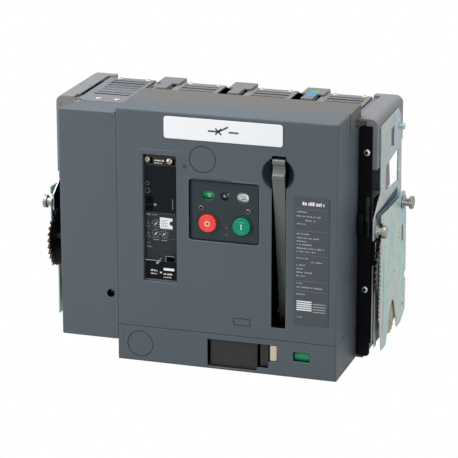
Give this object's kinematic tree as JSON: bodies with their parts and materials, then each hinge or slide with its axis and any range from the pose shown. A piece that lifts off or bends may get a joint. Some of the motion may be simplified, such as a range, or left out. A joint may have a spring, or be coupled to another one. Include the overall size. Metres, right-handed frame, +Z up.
{
  "type": "air circuit breaker",
  "caption": "Withdrawable multi-pole air circuit breaker with charging handle, ON and OFF buttons, electronic trip unit, racking drive and rear stab terminals.",
  "frame": {"origin": "middle of the footprint, at the level the breaker stands on", "axes": "+Z up, the operating face towards -Y, the poles in a row along X"},
  "size_m": [0.554, 0.34, 0.3874],
  "materials": {
    "grey_moulding": "fine-textured blue-grey moulding",
    "top_moulding": "satin brown-grey moulding",
    "black_moulding": "satin black moulding",
    "panel": "satin dark panel",
    "trip_black": "semi-gloss black",
    "clear_cover": "clear moulding",
    "red": "semi-gloss red",
    "green": "semi-gloss green",
    "white": "satin white",
    "label": "printed film",
    "handle_metal": "satin olive grey",
    "zinc": "bright zinc plating with a faint iridescent passivation",
    "black_steel": "black oxide",
    "steel": "turned steel",
    "brass": "dull brass",
    "copper": "silver-flashed copper"
  },
  "bodies": {
    "breaker": {"rear_housing": "black_moulding", "front_cover": "grey_moulding", "racking_cover": "grey_moulding", "neutral_cover": "grey_moulding", "mechanism_top": "top_moulding", "side_cap_left": "grey_moulding", "side_cap_right": "grey_moulding", "mounting_flange_left": "black_steel", "mounting_flange_right": "black_steel", "side_plate_left": "zinc", "side_plate_right": "zinc", "racking_plate_left": "zinc", "racking_plate_right": "zinc", "control_panel": "panel", "handle_pin": "steel", "trip_unit": "trip_black", "nameplate": "white", "rating_label": "label", "arc_chute_1": "grey_moulding", "arc_chute_2": "grey_moulding", "arc_chute_3": "grey_moulding", "arc_chute_4": "grey_moulding", "upper_stab_1": "copper", "upper_stab_2": "copper", "upper_stab_3": "copper", "upper_stab_4": "copper", "lower_stab_1": "copper", "lower_stab_2": "copper", "lower_stab_3": "copper", "lower_stab_4": "copper"},
    "racking_drive": {"racking_shaft": "steel", "racking_gear_left": "black_steel", "racking_gear_right": "black_steel"},
    "interlock_cam_left": {"interlock_cam_left": "brass"},
    "interlock_cam_right": {"interlock_cam_right": "brass"},
    "crank_socket": {"crank_socket": "steel"},
    "position_drum": {"position_drum": "green"},
    "racking_shutter": {"racking_shutter": "black_moulding"},
    "release_lever": {"release_lever": "brass"},
    "off_button": {"off_button": "red"},
    "on_button": {"on_button": "green"},
    "contact_flag": {"contact_flag": "green"},
    "ready_flag": {"ready_flag": "black_moulding"},
    "spring_flag": {"spring_flag": "white"},
    "charging_handle": {"charging_handle": "handle_metal"},
    "charging_ratchet": {"charging_ratchet": "steel"},
    "trip_cover": {"trip_cover": "clear_cover"},
    "trip_dial_1": {"trip_dial_1": "white"},
    "trip_dial_2": {"trip_dial_2": "white"},
    "trip_dial_3": {"trip_dial_3": "white"},
    "pole_shaft": {"pole_shaft": "steel"},
    "moving_contact_1": {"moving_contact_1": "copper"},
    "moving_contact_2": {"moving_contact_2": "copper"},
    "moving_contact_3": {"moving_contact_3": "copper"},
    "moving_contact_4": {"moving_contact_4": "copper"},
    "roller_front_left": {"roller_front_left": "steel"},
    "roller_front_right": {"roller_front_right": "steel"},
    "roller_rear_left": {"roller_rear_left": "steel"},
    "roller_rear_right": {"roller_rear_right": "steel"}
  },
  "joints": [
    {"name": "roller_front_left_spin", "type": "hinge", "parent": "breaker", "child": "roller_front_left", "pos_m": [-0.26075, -0.065, 0.204], "axis": [1, 0, 0], "continuous": true},
    {"name": "roller_rear_left_spin", "type": "hinge", "parent": "breaker", "child": "roller_rear_left", "pos_m": [-0.269, 0.066, 0.213], "axis": [1, 0, 0], "continuous": true},
    {"name": "roller_front_right_spin", "type": "hinge", "parent": "breaker", "child": "roller_front_right", "pos_m": [0.26075, -0.065, 0.204], "axis": [1, 0, 0], "continuous": true},
    {"name": "roller_rear_right_spin", "type": "hinge", "parent": "breaker", "child": "roller_rear_right", "pos_m": [0.269, 0.066, 0.213], "axis": [1, 0, 0], "continuous": true},
    {"name": "crank_turn", "type": "hinge", "parent": "breaker", "child": "crank_socket", "pos_m": [0.064, -0.105, 0.027], "axis": [0, 1, 0], "range_deg": [0, 1800]},
    {"name": "racking_drive_turn", "type": "hinge", "parent": "breaker", "child": "racking_drive", "pos_m": [0, -0.04, 0.143], "axis": [1, 0, 0], "range_deg": [0, 180]},
    {"name": "interlock_cam_left_turn", "type": "hinge", "parent": "breaker", "child": "interlock_cam_left", "pos_m": [-0.2535, 0.012, 0.047], "axis": [1, 0, 0], "range_deg": [0, 90]},
    {"name": "interlock_cam_right_turn", "type": "hinge", "parent": "breaker", "child": "interlock_cam_right", "pos_m": [0.2535, 0.012, 0.047], "axis": [1, 0, 0], "range_deg": [0, 90]},
    {"name": "position_drum_turn", "type": "hinge", "parent": "breaker", "child": "position_drum", "pos_m": [0.1686, -0.151, 0.033], "axis": [1, 0, 0], "range_deg": [0, 120]},
    {"name": "shutter_slide", "type": "slide", "parent": "breaker", "child": "racking_shutter", "axis": [-1, 0, 0], "range_m": [0, 0.068]},
    {"name": "release_lever_press", "type": "slide", "parent": "breaker", "child": "release_lever", "axis": [0, 1, 0], "range_m": [0, 0.006], "stiffness_N_per_m": 300, "springref_m": -0.002},
    {"name": "off_button_press", "type": "slide", "parent": "breaker", "child": "off_button", "axis": [0, 1, 0], "range_m": [0, 0.004], "stiffness_N_per_m": 600, "springref_m": -0.002},
    {"name": "on_button_press", "type": "slide", "parent": "breaker", "child": "on_button", "axis": [0, 1, 0], "range_m": [0, 0.004], "stiffness_N_per_m": 600, "springref_m": -0.002},
    {"name": "pole_shaft_turn", "type": "hinge", "parent": "breaker", "child": "pole_shaft", "pos_m": [0, -0.08, 0.165], "axis": [-1, 0, 0], "range_deg": [0, 50]},
    {"name": "moving_contact_1_turn", "type": "hinge", "parent": "breaker", "child": "moving_contact_1", "pos_m": [-0.1725, 0.02, 0.125], "axis": [-1, 0, 0], "range_deg": [0, 15]},
    {"name": "moving_contact_2_turn", "type": "hinge", "parent": "breaker", "child": "moving_contact_2", "pos_m": [-0.0575, 0.02, 0.125], "axis": [-1, 0, 0], "range_deg": [0, 15]},
    {"name": "moving_contact_3_turn", "type": "hinge", "parent": "breaker", "child": "moving_contact_3", "pos_m": [0.0575, 0.02, 0.125], "axis": [-1, 0, 0], "range_deg": [0, 15]},
    {"name": "moving_contact_4_turn", "type": "hinge", "parent": "breaker", "child": "moving_contact_4", "pos_m": [0.1725, 0.02, 0.125], "axis": [-1, 0, 0], "range_deg": [0, 15]},
    {"name": "contact_flag_turn", "type": "hinge", "parent": "breaker", "child": "contact_flag", "pos_m": [0.0257, -0.1455, 0.2664], "axis": [1, 0, 0], "range_deg": [0, 60]},
    {"name": "charging_handle_swing", "type": "hinge", "parent": "breaker", "child": "charging_handle", "pos_m": [0.13325, -0.115, 0.085], "axis": [1, 0, 0], "range_deg": [0, 55], "stiffness_Nm_per_rad": 0.8, "springref_deg": -34.38},
    {"name": "charging_ratchet_turn", "type": "hinge", "parent": "breaker", "child": "charging_ratchet", "pos_m": [0.103, -0.115, 0.085], "axis": [1, 0, 0], "range_deg": [0, 55]},
    {"name": "ready_flag_turn", "type": "hinge", "parent": "breaker", "child": "ready_flag", "pos_m": [0.0512, -0.1455, 0.2664], "axis": [1, 0, 0], "range_deg": [0, 55]},
    {"name": "spring_flag_turn", "type": "hinge", "parent": "breaker", "child": "spring_flag", "pos_m": [0.0782, -0.1455, 0.2664], "axis": [1, 0, 0], "range_deg": [0, 55]},
    {"name": "trip_cover_swing", "type": "hinge", "parent": "breaker", "child": "trip_cover", "pos_m": [-0.04775, -0.16175, 0.303], "axis": [-1, 0, 0], "range_deg": [0, 105]},
    {"name": "trip_dial_1_turn", "type": "hinge", "parent": "breaker", "child": "trip_dial_1", "pos_m": [-0.056, -0.158, 0.2148], "axis": [0, 1, 0], "range_deg": [-140, 140]},
    {"name": "trip_dial_2_turn", "type": "hinge", "parent": "breaker", "child": "trip_dial_2", "pos_m": [-0.0558, -0.158, 0.1998], "axis": [0, 1, 0], "range_deg": [-140, 140]},
    {"name": "trip_dial_3_turn", "type": "hinge", "parent": "breaker", "child": "trip_dial_3", "pos_m": [-0.043, -0.158, 0.1996], "axis": [0, 1, 0], "range_deg": [-140, 140]}
  ],
  "couplings": [
    {"joint": "racking_drive_turn", "follows": "crank_turn", "ratio": 0.1},
    {"joint": "interlock_cam_left_turn", "follows": "crank_turn", "ratio": 0.05},
    {"joint": "interlock_cam_right_turn", "follows": "crank_turn", "ratio": 0.05},
    {"joint": "position_drum_turn", "follows": "crank_turn", "ratio": 0.066},
    {"joint": "moving_contact_1_turn", "follows": "pole_shaft_turn", "ratio": 0.3},
    {"joint": "moving_contact_2_turn", "follows": "pole_shaft_turn", "ratio": 0.3},
    {"joint": "moving_contact_3_turn", "follows": "pole_shaft_turn", "ratio": 0.3},
    {"joint": "moving_contact_4_turn", "follows": "pole_shaft_turn", "ratio": 0.3},
    {"joint": "contact_flag_turn", "follows": "pole_shaft_turn", "ratio": 1.2},
    {"joint": "charging_ratchet_turn", "follows": "charging_handle_swing", "ratio": 1},
    {"joint": "ready_flag_turn", "follows": "charging_handle_swing", "ratio": 1},
    {"joint": "spring_flag_turn", "follows": "charging_handle_swing", "ratio": 1}
  ]
}
